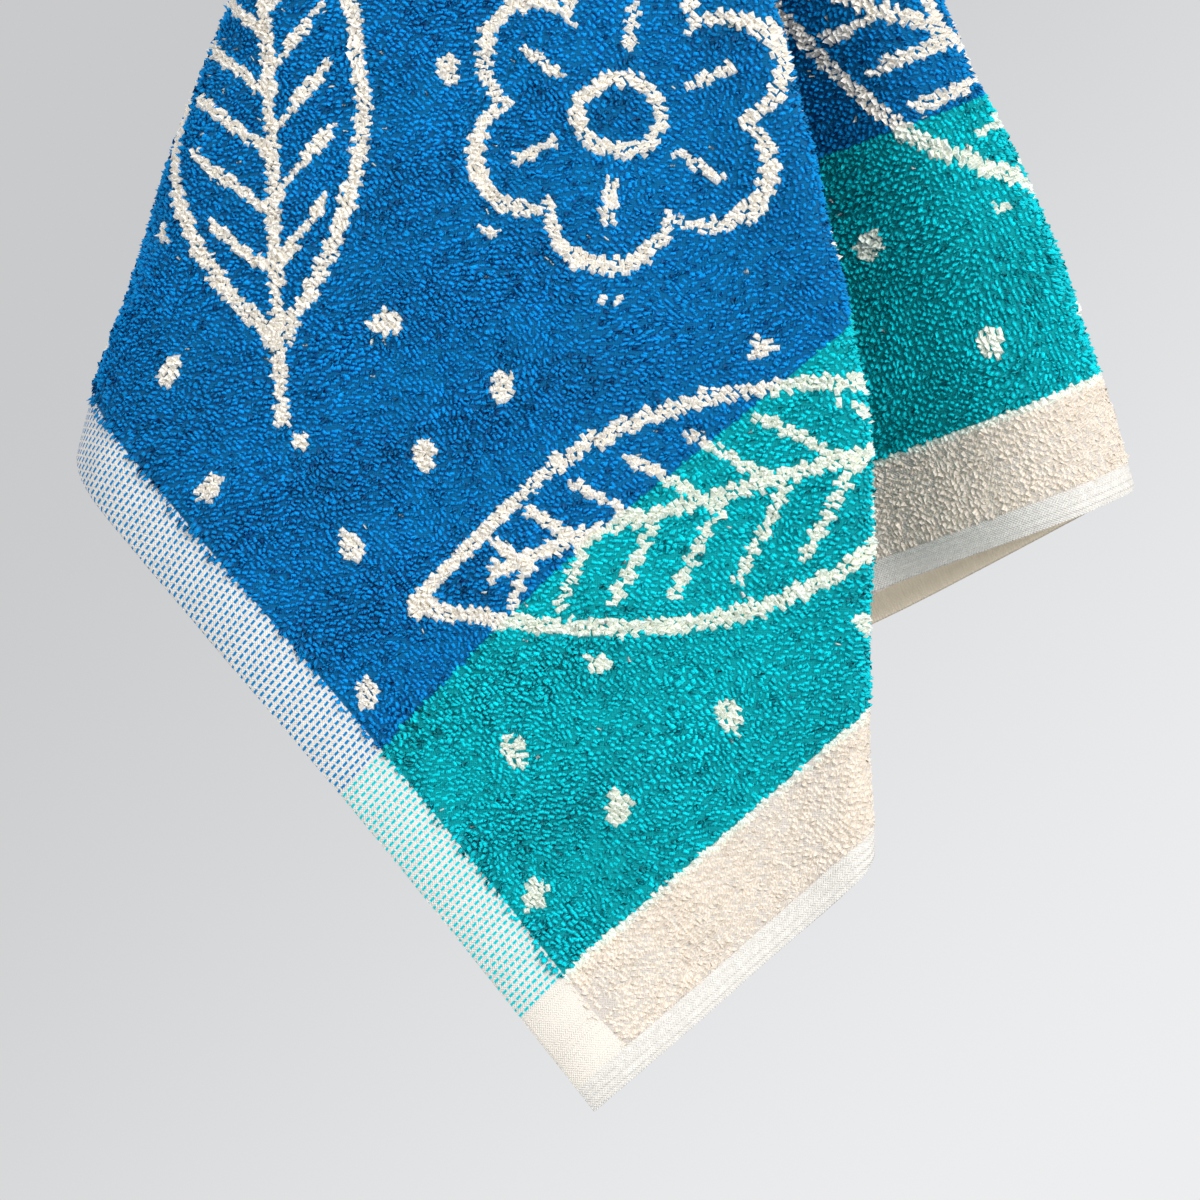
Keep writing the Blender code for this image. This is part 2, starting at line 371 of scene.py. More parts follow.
def on_blossom(u, v, centre_u, centre_v, radius, turn, line):
    """Outline of the petals, a ring at the heart and a dash on each petal."""
    out = np.hypot(u - centre_u, v - centre_v)
    angle = np.arctan2(v - centre_v, u - centre_u) + turn
    lobes = np.abs(np.cos(PETAL_PAIRS * angle)) ** PETAL_ROUNDNESS
    petal = radius * (PETAL_ROOT + PETAL_DEPTH * lobes)
    outline = np.abs(out - petal) < line * PETAL_HALF
    heart = np.abs(out - radius * HEART_RADIUS) < line * HEART_HALF
    nearest = (angle * PETAL_PAIRS / pi + 0.5) % 1.0 - 0.5
    dash = np.abs(nearest) * pi / PETAL_PAIRS * out < line * DASH_HALF
    dash &= (out > radius * DASH_SPAN[0]) & (out < radius * DASH_SPAN[1])
    return outline | heart | dash, out < petal + DESIGN_MARGIN


def woven_white(u, v, line, rng):
    """Which loops are white in the field of leaves, blossoms and seeds."""
    white = np.zeros(u.shape, bool)
    taken = np.zeros(u.shape, bool)
    for draw, rows in ((on_leaf, LEAVES), (on_blossom, BLOSSOMS)):
        for row in rows:
            drawn, covered = draw(u, v, *row, line)
            white |= drawn & ~taken
            taken |= covered
    for i in range(int(LONG_SIDE / SEED_SPACING) + 1):
        for j in range(int(SHORT_SIDE / SEED_SPACING) + 1):
            shift_u = rng.uniform(-SEED_SHIFT, SEED_SHIFT)
            shift_v = rng.uniform(-SEED_SHIFT, SEED_SHIFT)
            lean = rng.uniform(0, pi)
            seed_u = (i + 0.5 * (j % 2) + SEED_START[0]) * SEED_SPACING + shift_u
            seed_v = (j + SEED_START[1]) * SEED_SPACING + shift_v
            x = (u - seed_u) * cos(lean) + (v - seed_v) * sin(lean)
            y = (v - seed_v) * cos(lean) - (u - seed_u) * sin(lean)
            seed = (x / SEED_HALF_LENGTH) ** 2 + (y / SEED_HALF_WIDTH) ** 2 < 1
            white |= seed & ~taken
    return white


# Materials


# Half the distance over which a band, or the pile, gives way to the next part of the cloth
BAND_SOFTNESS = 1e-4
HEM_SOFTNESS = 1.5e-4
# Shares of the pile's colours in the ground under it: painted shade, for the loops' shade on it
COLOURED_GROUND_SHADE = 0.35
CREAM_GROUND_SHADE = 0.80
# Threads of the flat weave, the dashes of the side hems and the relief of both
THREAD_NOISE = 900.0
THREAD_TONES = (0.88, 1.0)
THREAD_TONES_AT = (0.35, 0.70)
DASH_DRIFT = 0.46
DASH_RAGGED = 0.30
DASH_ENDS = (0.32, 0.41)
DASH_SIDES = (0.20, 0.30)
DASH_SIDES_RAGGED = 0.10
DASH_BLUE = 0.62
DASH_TEAL = 0.70
CROSSED_RELIEF = 0.7
LINE_RELIEF = 0.6
ROW_RELIEF = 0.8
ROW_RISE = (0.20, 0.50)
THREAD_RELIEF = 1.2
WEAVE_DEPTH = 0.00010
# Short loops of the reverse, with shares of the colours in them and between them; the darker shares
# between them are painted shade
REVERSE_SCALE = 760.0
REVERSE_RANDOMNESS = 0.75
REVERSE_RISE = (0.25, 0.75)
REVERSE_EDGE = (0.05, 0.35)
REVERSE_WHITE = 0.95
REVERSE_CREAM = 1.1
SHADE_BETWEEN_COLOURED = 0.8
SHADE_BETWEEN_CREAM = 0.75
REVERSE_RIB_RELIEF = 0.12
REVERSE_DEPTH = 0.0004
# Twist of a loop's yarn; its tones are painted shade in the twist's grooves and a painted highlight
# on the plies
YARN_TURNS = 3.0
TWIST_SHADE_AND_HIGHLIGHT = (0.86, 1.04)
YARN_LIGHT_FROM = 0.4
YARN_DEPTH = 0.00003
# Shine of the cotton
SPECULAR = 0.10
SHEEN_ROUGHNESS = 0.5


class Wires:
    """Adds and joins nodes of one material or world."""

    def __init__(self, owner):
        owner.use_nodes = True
        self.tree = owner.node_tree
        self.shader = self.tree.nodes.get("Principled BSDF")

    def node(self, kind, **settings):
        made = self.tree.nodes.new(kind)
        for name, value in settings.items():
            setattr(made, name, value)
        return made

    def put(self, socket, value):
        if isinstance(value, bpy.types.NodeSocket):
            self.tree.links.new(value, socket)
        elif value is not None:
            socket.default_value = value

    def math(self, operation, a, b=None, c=None):
        made = self.node("ShaderNodeMath", operation=operation)
        for socket, value in zip(made.inputs, (a, b, c)):
            self.put(socket, value)
        return made.outputs[0]

    def steps(self, value, low, high, to_low=0.0, to_high=1.0):
        made = self.node("ShaderNodeMapRange", interpolation_type="SMOOTHSTEP")
        for socket, number in zip(made.inputs, (value, low, high, to_low, to_high)):
            self.put(socket, number)
        return made.outputs[0]

    def mix(self, share, a, b, blend="MIX"):
        made = self.node("ShaderNodeMix", data_type="RGBA", blend_type=blend)
        self.put(made.inputs[0], share)
        self.put(made.inputs[6], a)
        self.put(made.inputs[7], b)
        return made.outputs[2]

    def parts(self, vector):
        split = self.node("ShaderNodeSeparateXYZ")
        self.put(split.inputs[0], vector)
        return split.outputs

    def map_place(self, name):
        """The place on a map of the mesh, and its two parts."""
        place = self.node("ShaderNodeUVMap", uv_map=name).outputs[0]
        u, v, _ = self.parts(place)
        return place, u, v

    def wave(self, value, spacing):
        return self.math("SINE", self.math("MULTIPLY", value, 2 * pi / spacing))

    def off_middle(self, value):
        """How far a value is from the middle between two whole numbers, 0 to 0.5."""
        return self.math("ABSOLUTE", self.math("SUBTRACT", self.math("FRACT", value), 0.5))

    def noise(self, vector, scale):
        made = self.node("ShaderNodeTexNoise")
        self.put(made.inputs["Vector"], vector)
        self.put(made.inputs["Scale"], scale)
        return made.outputs[0]

    def bump(self, height, distance):
        made = self.node("ShaderNodeBump")
        self.put(made.inputs["Strength"], 1.0)
        self.put(made.inputs["Distance"], distance)
        self.put(made.inputs["Height"], height)
        self.put(self.shader.inputs["Normal"], made.outputs[0])


def cotton(name, roughness, sheen):
    material = bpy.data.materials.new(name)
    wires = Wires(material)
    wires.put(wires.shader.inputs["Roughness"], roughness)
    wires.put(wires.shader.inputs["Specular IOR Level"], SPECULAR)
    wires.put(wires.shader.inputs["Sheen Weight"], sheen)
    wires.put(wires.shader.inputs["Sheen Roughness"], SHEEN_ROUGHNESS)
    return material, wires


def rgba(colour, share=1.0):
    return tuple(c * share for c in colour[:3]) + (1.0,)


def between(wires, value, low, high):
    """1 between two places, 0 outside them."""
    above = wires.steps(value, low - HEM_SOFTNESS, low + HEM_SOFTNESS)
    below = wires.steps(value, high - HEM_SOFTNESS, high + HEM_SOFTNESS, 1.0, 0.0)
    return wires.math("MULTIPLY", above, below)


def pile_area(wires, u, v):
    """1 where the cloth has pile and 0 in its hems, and the same for the long sides alone."""
    off_selvedge = between(wires, v, SELVEDGE, SHORT_SIDE - SELVEDGE)
    off_sides = between(wires, u, SIDE_HEM, LONG_SIDE - SIDE_HEM)
    return wires.math("MULTIPLY", off_sides, off_selvedge), off_selvedge


def bands(wires, v, sizes):
    """1 from the hem to the top of the teal band, and 1 from it to the top of the cream one."""
    cream_top = SELVEDGE + sizes.cream_rows * PITCH_V
    teal_top = cream_top + sizes.teal_rows * PITCH_V
    return [
        wires.steps(v, top - BAND_SOFTNESS, top + BAND_SOFTNESS, 1.0, 0.0)
        for top in (teal_top, cream_top)
    ]


def face_cloth_material(sizes, colours):
    """Flat hems, dashed side hems, and the ground under the loops, darkened with painted shade."""
    material, wires = cotton("woven_face", roughness=0.92, sheen=0.05)
    place, u, v = wires.map_place("flat")

    # Bands of the pile, under the loops, darkened with painted shade for the loops' shade
    in_teal, in_cream = bands(wires, v, sizes)
    shaded_ground = wires.mix(in_teal, rgba(colours.blue, COLOURED_GROUND_SHADE), rgba(colours.teal, COLOURED_GROUND_SHADE))
    shaded_ground = wires.mix(in_cream, shaded_ground, rgba(colours.cream, CREAM_GROUND_SHADE))

    # Side hems: coloured dashes across white, one row to each row of loops
    row = wires.math("DIVIDE", wires.math("SUBTRACT", v, SELVEDGE), PITCH_V)
    in_row = wires.off_middle(row)
    uneven = wires.noise(place, THREAD_NOISE)
    drift = wires.math("MULTIPLY", wires.math("FLOOR", row), DASH_DRIFT)
    along = wires.math("ADD", wires.math("DIVIDE", u, sizes.dash_spacing), drift)
    along = wires.math("ADD", along, wires.math("MULTIPLY", uneven, DASH_RAGGED))
    row_edge = wires.math("ADD", in_row, wires.math("MULTIPLY", uneven, DASH_SIDES_RAGGED))
    dash = wires.math(
        "MULTIPLY",
        wires.steps(wires.off_middle(along), *DASH_ENDS, 1.0, 0.0),
        wires.steps(row_edge, *DASH_SIDES, 1.0, 0.0),
    )
    dash_colour = wires.mix(in_teal, rgba(colours.blue, DASH_BLUE), rgba(colours.teal, DASH_TEAL))
    dark_thread, light_thread = [rgba(colours.hem, tone) for tone in THREAD_TONES]
    hem_tone = wires.mix(wires.steps(uneven, *THREAD_TONES_AT), dark_thread, light_thread)
    plain_end = wires.mix(in_cream, hem_tone, rgba(colours.ecru))
    coloured = wires.math("MULTIPLY", dash, wires.math("SUBTRACT", 1.0, in_cream))
    side = wires.mix(coloured, plain_end, dash_colour)

    # Plain weave of the hems, with a few soft lines along the long sides
    crossed = wires.math(
        "MULTIPLY", wires.wave(u, sizes.rib_spacing), wires.wave(v, sizes.rib_spacing)
    )
    line = wires.wave(v, 2 * sizes.rib_spacing)
    weave = wires.math(
        "ADD",
        wires.math("MULTIPLY", crossed, CROSSED_RELIEF),
        wires.math("MULTIPLY", line, LINE_RELIEF),
    )

    on_pile, off_selvedge = pile_area(wires, u, v)
    hems = wires.mix(off_selvedge, hem_tone, side)
    wires.put(wires.shader.inputs["Base Color"], wires.mix(on_pile, hems, shaded_ground))
    rows_up = wires.steps(in_row, *ROW_RISE)
    relief = wires.math("ADD", wires.math("MULTIPLY", rows_up, ROW_RELIEF), weave)
    relief = wires.math("ADD", relief, wires.math("MULTIPLY", uneven, THREAD_RELIEF))
    wires.bump(relief, WEAVE_DEPTH)
    return material


def reverse_cloth_material(sizes, colours):
    """Short pale loops of the reverse, with the field's colour between them, darkened as painted
    shade.
    """
    material, wires = cotton("woven_reverse", roughness=0.95, sheen=0.10)
    place, u, v = wires.map_place("flat")
    loops = wires.node("ShaderNodeTexVoronoi")
    wires.put(loops.inputs["Vector"], place)
    wires.put(loops.inputs["Scale"], REVERSE_SCALE)
    wires.put(loops.inputs["Randomness"], REVERSE_RANDOMNESS)
    middle = wires.steps(loops.outputs["Distance"], *REVERSE_RISE, 1.0, 0.0)
    in_teal, in_cream = bands(wires, v, sizes)
    blue = rgba(colours.blue, SHADE_BETWEEN_COLOURED)
    teal = rgba(colours.teal, SHADE_BETWEEN_COLOURED)
    between_loops = wires.mix(in_teal, blue, teal)
    between_loops = wires.mix(in_cream, between_loops, rgba(colours.cream, SHADE_BETWEEN_CREAM))
    white = rgba(colours.white, REVERSE_WHITE)
    loop_colour = wires.mix(in_cream, white, rgba(colours.cream, REVERSE_CREAM))
    pile = wires.mix(wires.steps(middle, *REVERSE_EDGE), between_loops, loop_colour)
    on_pile, _ = pile_area(wires, u, v)
    hemmed = wires.mix(on_pile, rgba(colours.lining), pile)
    wires.put(wires.shader.inputs["Base Color"], hemmed)
    ribs = wires.math("MULTIPLY", wires.wave(u, sizes.rib_spacing), REVERSE_RIB_RELIEF)
    up = wires.math("MULTIPLY", middle, on_pile)
    wires.bump(wires.math("ADD", up, ribs), REVERSE_DEPTH)
    return material


def pile_material():
    """Twisted cotton of the loops, in each loop's colour, with painted shade at the feet and painted
    shade and highlight along the twist.
    """
    material, wires = cotton("looped_yarn", roughness=0.90, sheen=0.02)
    yarn = wires.node("ShaderNodeAttribute", attribute_name="yarn")
    _, along, across = wires.map_place("strand")
    turns = wires.math("ADD", wires.math("MULTIPLY", along, YARN_TURNS), across)
    twist = wires.wave(turns, 1.0)
    # Painted shade and highlight along the twist, over the twist's own relief
    shade = wires.steps(twist, -1.0, YARN_LIGHT_FROM, *TWIST_SHADE_AND_HIGHLIGHT)
    tone = wires.node("ShaderNodeCombineColor")
    for socket in tone.inputs:
        wires.put(socket, shade)
    colour = wires.mix(1.0, yarn.outputs["Color"], tone.outputs[0], "MULTIPLY")
    wires.put(wires.shader.inputs["Base Color"], colour)
    wires.bump(twist, YARN_DEPTH)
    return material


# Meshes


def new_piece(name, points, faces, material):
    """A mesh object at the origin from arrays of points and of faces with equal corners."""
    mesh = bpy.data.meshes.new(name)
    count, corners = faces.shape
    mesh.vertices.add(len(points))
    mesh.vertices.foreach_set("co", points.astype(np.float32).ravel())
    mesh.loops.add(faces.size)
    mesh.loops.foreach_set("vertex_index", faces.astype(np.int32).ravel())
    mesh.polygons.add(count)
    mesh.polygons.foreach_set("loop_start", np.arange(0, faces.size, corners, dtype=np.int32))
    mesh.polygons.foreach_set("use_smooth", np.ones(count, bool))
    mesh.update(calc_edges=True)
    mesh.materials.append(material)
    piece = bpy.data.objects.new(name, mesh)
    bpy.context.scene.collection.objects.link(piece)
    return piece


def give_map(piece, name, places):
    layer = piece.data.uv_layers.new(name=name, do_init=False)
    layer.uv.foreach_set("vector", places.astype(np.float32).ravel())


def reach(angle, inset_long, inset_short):
    """Distance from the hanging point to the edge of the cloth less its hems, along an angle."""
    short = (HANG_AT if angle > 0 else LONG_SIDE - HANG_AT) - inset_short
    down = (SHORT_SIDE - inset_long) / max(cos(angle), SMALLEST)
    return min(down, short / max(abs(sin(angle)), SMALLEST))


def column_angles():
    """Cloth angles of the mesh: both corners and their pile corners, close together in bends."""
    kept = [pi / 2, -pi / 2]
    for sign, width in ((1, HANG_AT), (-1, LONG_SIDE - HANG_AT)):
        kept.append(sign * atan2(width, SHORT_SIDE))
        kept.append(sign * atan2(width - SIDE_HEM, SHORT_SIDE - SELVEDGE))
    kept = sorted(kept, reverse=True)
    probe = ANGLES[::2]
    turned = np.zeros(len(probe) - 2)
    for radius in COLUMN_RADII:
        points = hung(np.full(len(probe), radius), probe)
        steps = unit(np.diff(points, axis=0))
        turns = np.arccos(np.clip((steps[1:] * steps[:-1]).sum(axis=1), -1, 1))
        averaged = np.convolve(turns, np.ones(SMOOTHED_OVER) / SMOOTHED_OVER, mode="same")
        turned = np.maximum(turned, averaged)
    passed = turned / BEND_STEP + (probe[0] - probe[1]) / FLAT_STEP
    total = np.concatenate([[0.0, 0.0], np.cumsum(passed)])
    columns = []
    for first, last in zip(kept, kept[1:]):
        from_to = np.interp([-first, -last], -probe, total)
        count = max(1, int(round(from_to[1] - from_to[0])))
        stops = np.linspace(from_to[0], from_to[1], count + 1)[:-1]
        columns += [first] + list(np.interp(stops[1:], total, probe))
    return np.array(columns + [kept[-1]])


# Rows of the cloth's mesh: how they crowd to the pile's edge, the steps there and at the cloth's
# own edge, and how far the face and the reverse lie off the middle
ROW_CROWDING = 0.85
PILE_ROUNDING = 0.0014
PILE_STEP = 0.0002
EDGE_ROUNDING = (0.0010, 0.0004, 0.0)
HEM_LIFTS = [0.0009, 0.0009, 0.0008, 0.0005, 0.0002]
REVERSE_LIFT = 0.0015
REVERSE_STEP_LIFT = 0.0011


def cloth_grid():
    """Flat places of the cloth's mesh, and how far its face and reverse lie off the middle."""
    shares = np.linspace(0, 1, PILE_MESH_ROWS) ** ROW_CROWDING
    u = []
    v = []
    for angle in column_angles():
        pile = reach(angle, SELVEDGE, SIDE_HEM)
        edge = reach(angle, 0.0, 0.0)
        inner = pile - PILE_ROUNDING
        radii = list(RING_RADIUS + (inner - RING_RADIUS) * shares)
        radii += [pile - PILE_STEP, pile + PILE_STEP, pile + 0.5 * (edge - pile)]
        radii += [edge - rounding for rounding in EDGE_ROUNDING]
        u.append([HANG_AT - r * sin(angle) for r in radii])
        v.append([SHORT_SIDE - r * cos(angle) for r in radii])
    face = [GROUND_LIFT] * (PILE_MESH_ROWS + 1) + HEM_LIFTS
    back = [REVERSE_LIFT] * PILE_MESH_ROWS + [REVERSE_STEP_LIFT] + HEM_LIFTS
    return np.array(u), np.array(v), np.array(face), np.array(back)


def build_cloth(sizes, colours):
    """One closed sheet: ground and hems on its face side, the reverse's loops on its back."""
    u, v, face_lift, back_lift = cloth_grid()
    columns, rows = u.shape
    front, _ = hung_at(u, v, face_lift)
    behind, _ = hung_at(u, v, -back_lift)
    c, r = np.meshgrid(np.arange(columns - 1), np.arange(rows - 1), indexing="ij")
    a = c * rows + r
    face = np.stack([a, a + 1, a + rows + 1, a + rows], axis=-1).reshape(-1, 4)
    under = columns * rows
    back = face[:, ::-1] + under
    c = np.arange(columns - 1) * rows
    r = np.arange(rows - 1)
    far = (columns - 1) * rows
    rim = np.concatenate(
        [
            np.stack([c, c + rows], axis=-1),
            np.stack([c + 2 * rows - 1, c + rows - 1], axis=-1),
            np.stack([r + 1, r], axis=-1),
            np.stack([far + r, far + r + 1], axis=-1),
        ]
    )
    rim = np.stack([rim[:, 1], rim[:, 0], rim[:, 0] + under, rim[:, 1] + under], axis=-1)
    faces = np.concatenate([face, back, rim])
    points = np.concatenate([front.reshape(-1, 3), behind.reshape(-1, 3)])
    cloth = new_piece("cloth", points, faces, face_cloth_material(sizes, colours))
    cloth.data.materials.append(reverse_cloth_material(sizes, colours))
    slots = np.zeros(len(faces), np.int32)
    slots[len(face) : len(face) + len(back)] = 1
    cloth.data.polygons.foreach_set("material_index", slots)

    flat = np.stack([u, v], axis=-1).reshape(-1, 2)
    flat = np.concatenate([flat, flat])
    # The baking map has the face in its lower half and the reverse in its upper half
    on_map = flat / (LONG_SIDE, 2 * SHORT_SIDE)
    on_map[under:, 1] += 0.5
    corner = faces.ravel()
    give_map(cloth, "flat", flat[corner])
    give_map(cloth, "OFBake", on_map[corner])
    return cloth


def soft_field(rng, cell):
    """A random value for each loop that changes smoothly over so many loops."""
    coarse = rng.normal(size=(LOOP_COLUMNS // cell + 3, LOOP_ROWS // cell + 3))
    i = np.arange(LOOP_COLUMNS)[:, None] / cell
    j = np.arange(LOOP_ROWS)[None, :] / cell
    i0 = i.astype(int)
    j0 = j.astype(int)
    a = eased(i - i0)
    b = eased(j - j0)
    return (
        coarse[i0, j0] * (1 - a) * (1 - b)
        + coarse[i0 + 1, j0] * a * (1 - b)
        + coarse[i0, j0 + 1] * (1 - a) * b
        + coarse[i0 + 1, j0 + 1] * a * b
    )


# A loop of yarn: four corners at its foot and a ridge of two points, closed below by the last
# two of its triangles
LOOP_FACES = np.array(
    [[0, 3, 5], [0, 5, 4], [2, 1, 4], [2, 4, 5], [1, 0, 4], [3, 2, 5], [0, 1, 2], [0, 2, 3]]
)
UPPER_FACES = np.arange(len(LOOP_FACES)) < 6
FOOT_CORNERS = ((-1, -1), (-1, 1), (1, 1), (1, -1))
# Place of each of its points along the loop and across it, seen from above
LOOP_PLACES = np.array([[0, 0], [0, 1], [1, 1], [1, 0], [0.3, 0.5], [0.7, 0.5]], float)
# A loop's cell of the baking map: where its faces lie, with those of the foot beside the rest
CELL_ALONG = (0.06, 0.88)
CELL_UPPER = (0.05, 0.70)
CELL_FOOT = (0.81, 0.14)


def directions(u, v):
    """Where loops at flat places have their feet, and the cloth's normal and two directions."""
    small = 3e-4
    base, normal = hung_at(u, v, np.full(u.shape, GROUND_LIFT - FOOT_DEPTH))
    here = hung(*polar(u, v))
    along_v = unit(hung(*polar(u, v + small)) - here)
    along_u = np.cross(along_v, normal)
    along_u = along_u * np.sign((along_u * (hung(*polar(u + small, v)) - here)).sum(axis=1))[:, None]
    return base, normal, along_u, along_v


# Yarns. Slow parts change over several loops, own parts from loop to loop
RANDOM_SEED = 20
# A loop's colour at its feet, as shares: painted shade, low down where the loops shade each other
COLOURED_FOOT_SHADE = (0.30, 0.56, 0.62)
PALE_FOOT_SHADE = (0.98, 0.91, 0.79)
TONE_OWN = 0.08
TONE_SLOW = 0.05
TONE_CELL = 12
TONE_LIMITS = (0.7, 1.3)
PALE_TONE = 0.3
FLECK_REACH = 6
FLECKS_NEAR_WHITE = 0.012
FLECKS_ELSEWHERE = 0.0009
# Turn and leans of the loops: mean, slow part, the number of loops it changes over, own part
TURN = (-0.30, 0.50, 8, 0.32)
LEAN_U = (0.0, 0.30, 9, 0.22)
LEAN_V = (-0.25, 0.30, 9, 0.22)
SKEW_OWN = 0.20
TWIST_MEAN = 0.45
TWIST_OWN = 0.25
TWIST_LIMITS = (-0.4, 1.0)
# Leans and sizes of the pale loops, as shares of the coloured ones'
WHITE_LEAN = 0.45
CREAM_LEAN = 0.30
WHITE_HEIGHT = 1.06
CREAM_HEIGHT = 0.76
WHITE_WIDTH = 1.38
CREAM_WIDTH = 1.34
PALE_LENGTH = 1.44
FLECK_WIDTH = 0.45
SIZE_OWN = 0.12
LEAST_HEIGHT = 0.6
LEAST_SIZE = 0.7
MOST_SIZE = 1.3
# The loops along the pile's edges lean out over the hems and spill onto them
EDGE_COLUMNS = 2
OVER_SIDE_HEM = 0.7
CREAM_OVER_SIDE_HEM = 0.25
OVER_SELVEDGE = 0.2
SPILL = 0.5
SPILL_CELL = 3
FARTHEST_SPILL = 0.0011
# Slips of the loops, as shares of the distance between them
SLIP_OWN = 0.15
STAGGER = 0.25
BARE_AT_RING = 0.003


def loop_yarns(j, white, in_cream, sizes, colours, rng):
    """The colour of each loop, and which loops are stray thin ones of white yarn."""
    in_teal = j < sizes.cream_rows + sizes.teal_rows
    yarn = np.empty(LOOP_GRID + (3,))
    yarn[:] = colours.blue
    yarn[in_teal] = colours.teal
    yarn[white] = colours.white
    yarn[white & in_teal] = colours.white_in_teal
    yarn[in_cream] = colours.cream
    yarn[j == sizes.cream_rows - 1] = colours.white_in_teal
    near_white = np.zeros(LOOP_GRID, bool)
    for step in range(1, FLECK_REACH + 1):
        near_white[step:] |= white[:-step]
        near_white[:-step] |= white[step:]
    plain = ~white & ~in_cream
    fleck = near_white & plain & (rng.random(LOOP_GRID) < FLECKS_NEAR_WHITE)
    fleck |= plain & (rng.random(LOOP_GRID) < FLECKS_ELSEWHERE)
    yarn[fleck] = colours.white
    tone = 1.0 + TONE_OWN * rng.normal(size=LOOP_GRID) + TONE_SLOW * soft_field(rng, TONE_CELL)
    tone = np.where(white | in_cream, 1 + PALE_TONE * (tone - 1), tone)
    yarn *= np.clip(tone, *TONE_LIMITS)[..., None]
    return yarn, fleck


def strayed(rng, mean, slow, cell, own):
    """A value for each loop, about a mean."""
    return mean + slow * soft_field(rng, cell) + own * rng.normal(size=LOOP_GRID)


def sized(rng, least):
    """A share near 1 for each loop."""
    return np.clip(1 + SIZE_OWN * rng.normal(size=LOOP_GRID), least, MOST_SIZE)


def loop_stances(u, v, i, white, in_cream, fleck, sizes, rng):
    """Place, turn, leans and sizes of each loop, by name."""

    def by_yarn(on_white, on_cream):
        return np.where(white, on_white, np.where(in_cream, on_cream, 1.0))

    turn = strayed(rng, *TURN)
    lean_u = strayed(rng, *LEAN_U) * by_yarn(WHITE_LEAN, CREAM_LEAN)
    lean_v = strayed(rng, *LEAN_V) * by_yarn(WHITE_LEAN, CREAM_LEAN)
    over_hem = np.where(in_cream, CREAM_OVER_SIDE_HEM, OVER_SIDE_HEM)
    lean_u -= over_hem * (i < EDGE_COLUMNS)
    lean_u += over_hem * (i >= LOOP_COLUMNS - EDGE_COLUMNS)
    lean_v[:, 0] -= OVER_SELVEDGE
    tall = sizes.pile_height * sized(rng, LEAST_HEIGHT) * by_yarn(WHITE_HEIGHT, CREAM_HEIGHT)
    wide = sizes.yarn_width * sized(rng, LEAST_SIZE) * by_yarn(WHITE_WIDTH, CREAM_WIDTH)
    long = sizes.loop_length * sized(rng, LEAST_SIZE) * by_yarn(PALE_LENGTH, PALE_LENGTH)
    wide[fleck] *= FLECK_WIDTH
    slip_u = PITCH_U * SLIP_OWN * rng.normal(size=LOOP_GRID)
    slip_v = PITCH_V * SLIP_OWN * rng.normal(size=LOOP_GRID) + PITCH_V * STAGGER * (i % 2)
    spill = PITCH_U * SPILL * (1 + soft_field(rng, SPILL_CELL))
    slip_u[0] -= spill[0]
    slip_u[-1] += spill[-1]
    spilt = SIDE_HEM - FARTHEST_SPILL
    return {
        "u": np.clip(u + slip_u, spilt, LONG_SIDE - spilt),
        "v": np.clip(v + slip_v, SELVEDGE, SHORT_SIDE - SELVEDGE),
        "turn": turn,
        "lean_u": lean_u,
        "lean_v": lean_v,
        "tall": tall,
        "wide": wide,
        "long": long,
        "skew": SKEW_OWN * rng.normal(size=LOOP_GRID),
        "twist": np.clip(TWIST_MEAN + TWIST_OWN * rng.normal(size=LOOP_GRID), *TWIST_LIMITS),
    }


def loop_points(loop):
    """The points of some loops, from their stances."""
    base, normal, along_u, along_v = directions(loop["u"], loop["v"])
    at = {name: values[:, None] for name, values in loop.items()}
    way = np.cos(at["turn"]) * along_v + np.sin(at["turn"]) * along_u
    side = np.cross(normal, way)
    ridge_way = way + np.tan(at["twist"]) * side
    height = at["tall"] - GROUND_LIFT
    lean = at["lean_u"] * along_u + at["lean_v"] * along_v
    crown = base + (normal + lean) * height
    half = at["long"] / 2
    width = at["wide"] / 2
    tip = at["skew"] * height * normal
    points = [base + end * half * way + edge * width * side for end, edge in FOOT_CORNERS]
    points.append(crown - 0.5 * half * ridge_way - tip)
    points.append(crown + 0.5 * half * ridge_way + tip)
    return np.stack(points, axis=1)


def cell_places():
    """Places of a loop's corners in its cell of the baking map."""
    along, across = np.moveaxis(LOOP_PLACES[LOOP_FACES], -1, 0)
    upper = CELL_UPPER[0] + CELL_UPPER[1] * across
    foot = CELL_FOOT[0] + CELL_FOOT[1] * across
    over = np.where(UPPER_FACES[:, None], upper, foot)
    return np.stack([CELL_ALONG[0] + CELL_ALONG[1] * along, over], axis=-1)


